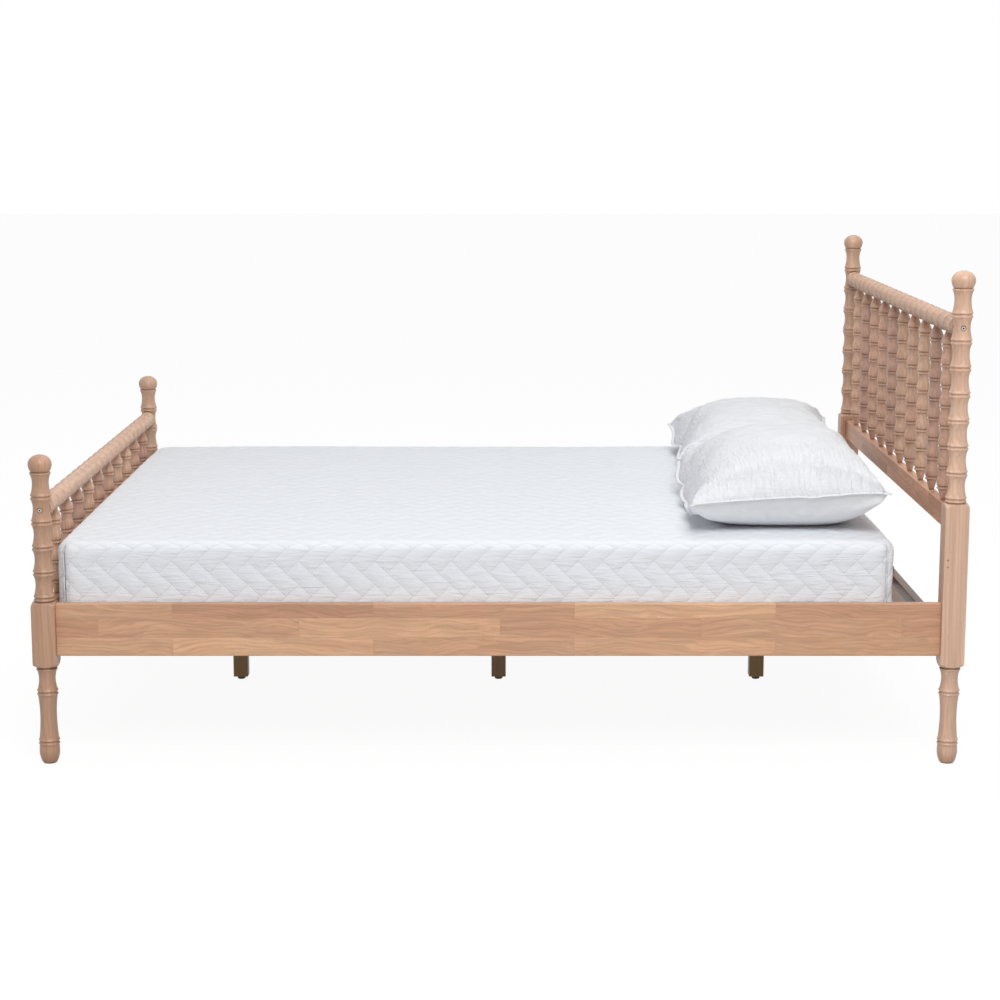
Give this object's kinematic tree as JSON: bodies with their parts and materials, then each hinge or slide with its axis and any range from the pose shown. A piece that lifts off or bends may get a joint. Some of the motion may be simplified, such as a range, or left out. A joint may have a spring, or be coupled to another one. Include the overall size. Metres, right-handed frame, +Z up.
{
  "type": "spindle bed",
  "caption": "Spindle bed of bamboo-turned pale wood: ringed posts with ball tops, ringed rails and spindles at head and foot, slatted base, centre legs, mattress and pillows.",
  "frame": {"origin": "on the floor, at the middle of the four posts", "axes": "+X from the foot to the head, +Y to the far side as pictured, +Z up"},
  "size_m": [2.131, 1.604, 1.1356],
  "materials": {
    "post_wood": "satin",
    "turned_wood": "satin",
    "rail_wood": "satin",
    "frame_wood": "matte",
    "glide_plastic": "matte",
    "fitting_steel": "satin",
    "coverlet_fabric": "matte",
    "pillow_fabric": "matte"
  },
  "bodies": {
    "frame": {"centre_beam": "frame_wood", "centre_leg_foot": "frame_wood", "centre_leg_head": "frame_wood", "centre_leg_middle": "frame_wood", "foot_lower_rail": "rail_wood", "foot_post_left": "post_wood", "foot_post_right": "post_wood", "foot_spindle_01": "turned_wood", "foot_spindle_02": "turned_wood", "foot_spindle_03": "turned_wood", "foot_spindle_04": "turned_wood", "foot_spindle_05": "turned_wood", "foot_spindle_06": "turned_wood", "foot_spindle_07": "turned_wood", "foot_spindle_08": "turned_wood", "foot_spindle_09": "turned_wood", "foot_spindle_10": "turned_wood", "foot_top_rail": "turned_wood", "head_lower_rail": "rail_wood", "head_panel_rail": "rail_wood", "head_post_left": "post_wood", "head_post_right": "post_wood", "head_spindle_01": "turned_wood", "head_spindle_02": "turned_wood", "head_spindle_03": "turned_wood", "head_spindle_04": "turned_wood", "head_spindle_05": "turned_wood", "head_spindle_06": "turned_wood", "head_spindle_07": "turned_wood", "head_spindle_08": "turned_wood", "head_spindle_09": "turned_wood", "head_spindle_10": "turned_wood", "head_top_rail": "turned_wood", "post_slot_plates": "fitting_steel", "rail_hook_plates": "fitting_steel", "side_rail_left": "rail_wood", "side_rail_right": "rail_wood", "slat_01": "frame_wood", "slat_02": "frame_wood", "slat_03": "frame_wood", "slat_04": "frame_wood", "slat_05": "frame_wood", "slat_06": "frame_wood", "slat_07": "frame_wood", "slat_08": "frame_wood", "slat_09": "frame_wood", "slat_10": "frame_wood", "slat_11": "frame_wood", "slat_12": "frame_wood", "slat_ledger_left": "frame_wood", "slat_ledger_right": "frame_wood", "top_rail_bolts": "fitting_steel"},
    "levelling_foot_foot": {"levelling_foot_foot": "glide_plastic"},
    "levelling_foot_middle": {"levelling_foot_middle": "glide_plastic"},
    "levelling_foot_head": {"levelling_foot_head": "glide_plastic"},
    "mattress": {"mattress": "coverlet_fabric"},
    "pillow_right": {"pillow_right": "pillow_fabric"},
    "pillow_left": {"pillow_left": "pillow_fabric"}
  },
  "joints": [
    {"name": "levelling_foot_foot_screw", "type": "slide", "parent": "frame", "child": "levelling_foot_foot", "axis": [0, 0, 1], "range_m": [-0.012, 0]},
    {"name": "levelling_foot_middle_screw", "type": "slide", "parent": "frame", "child": "levelling_foot_middle", "axis": [0, 0, 1], "range_m": [-0.012, 0]},
    {"name": "levelling_foot_head_screw", "type": "slide", "parent": "frame", "child": "levelling_foot_head", "axis": [0, 0, 1], "range_m": [-0.012, 0]},
    {"name": "mattress_lift", "type": "slide", "parent": "frame", "child": "mattress", "axis": [0, 0, 1], "range_m": [0, 0.85]},
    {"name": "pillow_right_lift", "type": "slide", "parent": "mattress", "child": "pillow_right", "axis": [0, 0, 1], "range_m": [0, 0.65]},
    {"name": "pillow_left_lift", "type": "slide", "parent": "mattress", "child": "pillow_left", "axis": [0, 0, 1], "range_m": [0, 0.65]}
  ]
}
